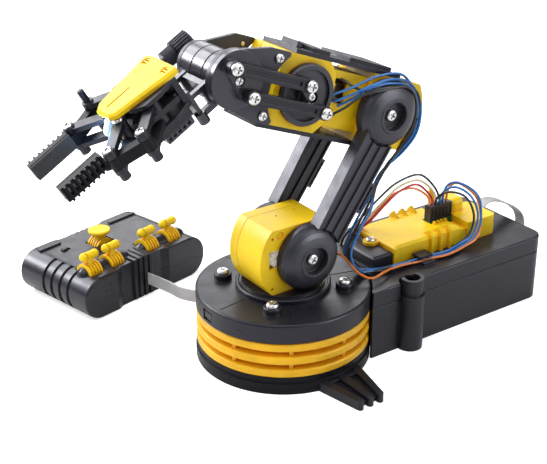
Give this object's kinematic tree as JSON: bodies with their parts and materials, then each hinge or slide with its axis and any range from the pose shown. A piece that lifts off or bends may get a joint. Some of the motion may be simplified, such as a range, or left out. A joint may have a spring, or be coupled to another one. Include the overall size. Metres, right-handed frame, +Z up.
{
  "type": "desktop robot arm kit",
  "caption": "Desktop geared-motor robot arm on a turntable, with linked wrist, parallel-jaw gripper, battery box and wired lever handset.",
  "frame": {"origin": "on the ground, on the turntable axis under the middle of the round base", "axes": "+Z up, +X from the arm towards the battery box (the arm reaches towards -X), all arm hinges parallel to Y, near side is -Y and the handset lies on the +Y side"},
  "size_m": [0.3349, 0.2597, 0.1959],
  "materials": {
    "black_shell": "fine-grained injection-moulded plastic, satin",
    "yellow_shell": "semi-gloss injection-moulded plastic",
    "screw_steel": "nickel-plated",
    "shaft_steel": "ground",
    "motor_can": "plated",
    "gear_white": "natural nylon",
    "foam": "closed-cell foam",
    "lamp_lens": "clear lens, lit",
    "cell_jacket": "plain printed-free sleeve",
    "board_green": "solder mask",
    "ribbon_grey": "flat cable sleeve",
    "wire_sleeve": "wire insulation"
  },
  "bodies": {
    "root": {"base_plate": "black_shell", "ring_housing": "yellow_shell", "base_deck": "black_shell", "stabiliser_legs": "black_shell", "base_screws": "screw_steel", "yaw_motor": "motor_can", "battery_tray": "black_shell", "battery_lid": "black_shell", "battery_door": "black_shell", "batteries": "cell_jacket", "controller_board": "board_green", "board_cover": "yellow_shell", "wire_plugs": "black_shell", "handset_ribbon": "ribbon_grey", "motor_looms": "wire_sleeve", "handset_bottom": "black_shell", "handset_top": "black_shell"},
    "turntable": {"turntable": "black_shell", "shoulder_housing_near": "yellow_shell", "shoulder_housing_far": "yellow_shell", "shoulder_motor": "motor_can"},
    "shoulder_idler": {"shoulder_idler": "gear_white"},
    "upper_arm": {"upper_arm_near": "black_shell", "upper_arm_far": "black_shell", "arm_shafts": "shaft_steel", "arm_gears": "gear_white", "arm_screws": "screw_steel"},
    "forearm": {"elbow_housing_near": "yellow_shell", "elbow_housing_far": "yellow_shell", "wrist_housing_near": "yellow_shell", "wrist_housing_far": "yellow_shell", "forearm_motors": "motor_can", "forearm_top_cover": "black_shell", "forearm_bottom_cover": "black_shell", "fork_plates": "black_shell", "forearm_screws": "screw_steel"},
    "crank": {"wrist_crank": "black_shell", "crank_screws": "screw_steel"},
    "rod_upper": {"link_rod_upper": "black_shell"},
    "rod_lower": {"link_rod_lower": "black_shell"},
    "gripper": {"wrist_drum": "black_shell", "wrist_screws": "screw_steel", "gripper_frame": "black_shell", "gripper_cover": "yellow_shell", "gripper_motor": "black_shell", "led_lamp": "lamp_lens"},
    "light_switch": {"light_switch": "black_shell"},
    "disc_lever": {"disc_lever": "yellow_shell"},
    "front_link_near": {"front_link_near": "black_shell"},
    "rear_link_near": {"rear_link_near": "black_shell"},
    "finger_near": {"finger_near": "black_shell", "grip_pad_near": "foam"},
    "front_link_far": {"front_link_far": "black_shell"},
    "rear_link_far": {"rear_link_far": "black_shell"},
    "finger_far": {"finger_far": "black_shell", "grip_pad_far": "foam"},
    "tee_lever_a": {"tee_lever_a": "yellow_shell"},
    "tee_lever_b": {"tee_lever_b": "yellow_shell"},
    "tee_lever_c": {"tee_lever_c": "yellow_shell"},
    "tee_lever_d": {"tee_lever_d": "yellow_shell"}
  },
  "joints": [
    {"name": "base_yaw", "type": "hinge", "parent": "root", "child": "turntable", "pos_m": [0, 0, 0.044], "axis": [0, 0, 1], "range_deg": [-135, 135]},
    {"name": "shoulder", "type": "hinge", "parent": "turntable", "child": "upper_arm", "pos_m": [0.0035, 0, 0.0675], "axis": [0, 1, 0], "range_deg": [-48, 28]},
    {"name": "shoulder_idler_spin", "type": "hinge", "parent": "turntable", "child": "shoulder_idler", "pos_m": [-0.0131, 0, 0.069], "axis": [0, 1, 0], "range_deg": [-110, 110]},
    {"name": "elbow", "type": "hinge", "parent": "upper_arm", "child": "forearm", "pos_m": [0.05719, 0, 0.14221], "axis": [0, -1, 0], "range_deg": [-175, 38]},
    {"name": "crank", "type": "hinge", "parent": "forearm", "child": "crank", "pos_m": [0.00215, 0, 0.1629], "axis": [0, 1, 0], "range_deg": [-7, 110]},
    {"name": "wrist", "type": "hinge", "parent": "forearm", "child": "gripper", "pos_m": [-0.04391, 0, 0.18021], "axis": [0, 1, 0], "range_deg": [-7, 110]},
    {"name": "rod_upper_pivot", "type": "hinge", "parent": "crank", "child": "rod_upper", "pos_m": [-0.00279, 0, 0.17131], "axis": [0, 1, 0], "range_deg": [-110, 7]},
    {"name": "rod_lower_pivot", "type": "hinge", "parent": "crank", "child": "rod_lower", "pos_m": [0.00708, 0, 0.15449], "axis": [0, 1, 0], "range_deg": [-110, 7]},
    {"name": "jaw_front_near", "type": "hinge", "parent": "gripper", "child": "front_link_near", "pos_m": [-0.10049, -0.006, 0.16079], "axis": [-0.515, 0, 0.8572], "range_deg": [-39, 36]},
    {"name": "jaw_rear_near", "type": "hinge", "parent": "gripper", "child": "rear_link_near", "pos_m": [-0.08592, -0.0125, 0.16955], "axis": [-0.515, 0, 0.8572], "range_deg": [-40, 40]},
    {"name": "finger_near", "type": "hinge", "parent": "front_link_near", "child": "finger_near", "pos_m": [-0.11463, -0.0215, 0.1523], "axis": [-0.515, 0, 0.8572], "range_deg": [-40, 40]},
    {"name": "jaw_front_far", "type": "hinge", "parent": "gripper", "child": "front_link_far", "pos_m": [-0.10049, 0.006, 0.16079], "axis": [-0.515, 0, 0.8572], "range_deg": [-40, 40]},
    {"name": "jaw_rear_far", "type": "hinge", "parent": "gripper", "child": "rear_link_far", "pos_m": [-0.08592, 0.0125, 0.16955], "axis": [-0.515, 0, 0.8572], "range_deg": [-40, 40]},
    {"name": "finger_far", "type": "hinge", "parent": "front_link_far", "child": "finger_far", "pos_m": [-0.11463, 0.0215, 0.1523], "axis": [-0.515, 0, 0.8572], "range_deg": [-40, 40]},
    {"name": "tee_lever_a", "type": "hinge", "parent": "root", "child": "tee_lever_a", "pos_m": [-0.07155, 0.10874, 0.0265], "axis": [0.9732, 0.23, 0], "range_deg": [-14, 14], "stiffness_Nm_per_rad": 0.02},
    {"name": "tee_lever_b", "type": "hinge", "parent": "root", "child": "tee_lever_b", "pos_m": [-0.05432, 0.11281, 0.0265], "axis": [0.9732, 0.23, 0], "range_deg": [-14, 14], "stiffness_Nm_per_rad": 0.02},
    {"name": "tee_lever_c", "type": "hinge", "parent": "root", "child": "tee_lever_c", "pos_m": [-0.02464, 0.11983, 0.0265], "axis": [0.9732, 0.23, 0], "range_deg": [-14, 14], "stiffness_Nm_per_rad": 0.02},
    {"name": "tee_lever_d", "type": "hinge", "parent": "root", "child": "tee_lever_d", "pos_m": [-0.00615, 0.1242, 0.0265], "axis": [0.9732, 0.23, 0], "range_deg": [-14, 14], "stiffness_Nm_per_rad": 0.02},
    {"name": "disc_lever", "type": "hinge", "parent": "root", "child": "disc_lever", "pos_m": [-0.04685, 0.14335, 0.0245], "axis": [-0.23, 0.9732, 0], "range_deg": [-14, 14], "stiffness_Nm_per_rad": 0.02},
    {"name": "light_switch", "type": "slide", "parent": "root", "child": "light_switch", "axis": [0.9732, 0.23, 0], "range_m": [0, 0.0024]}
  ],
  "couplings": [
    {"joint": "shoulder_idler_spin", "follows": "shoulder", "ratio": -2.1818},
    {"joint": "wrist", "follows": "crank", "ratio": 1},
    {"joint": "rod_upper_pivot", "follows": "crank", "ratio": -1},
    {"joint": "rod_lower_pivot", "follows": "crank", "ratio": -1},
    {"joint": "jaw_rear_near", "follows": "jaw_front_near", "ratio": 1},
    {"joint": "finger_near", "follows": "jaw_front_near", "ratio": -1},
    {"joint": "jaw_front_far", "follows": "jaw_front_near", "ratio": -1},
    {"joint": "jaw_rear_far", "follows": "jaw_front_near", "ratio": -1},
    {"joint": "finger_far", "follows": "jaw_front_near", "ratio": 1}
  ]
}
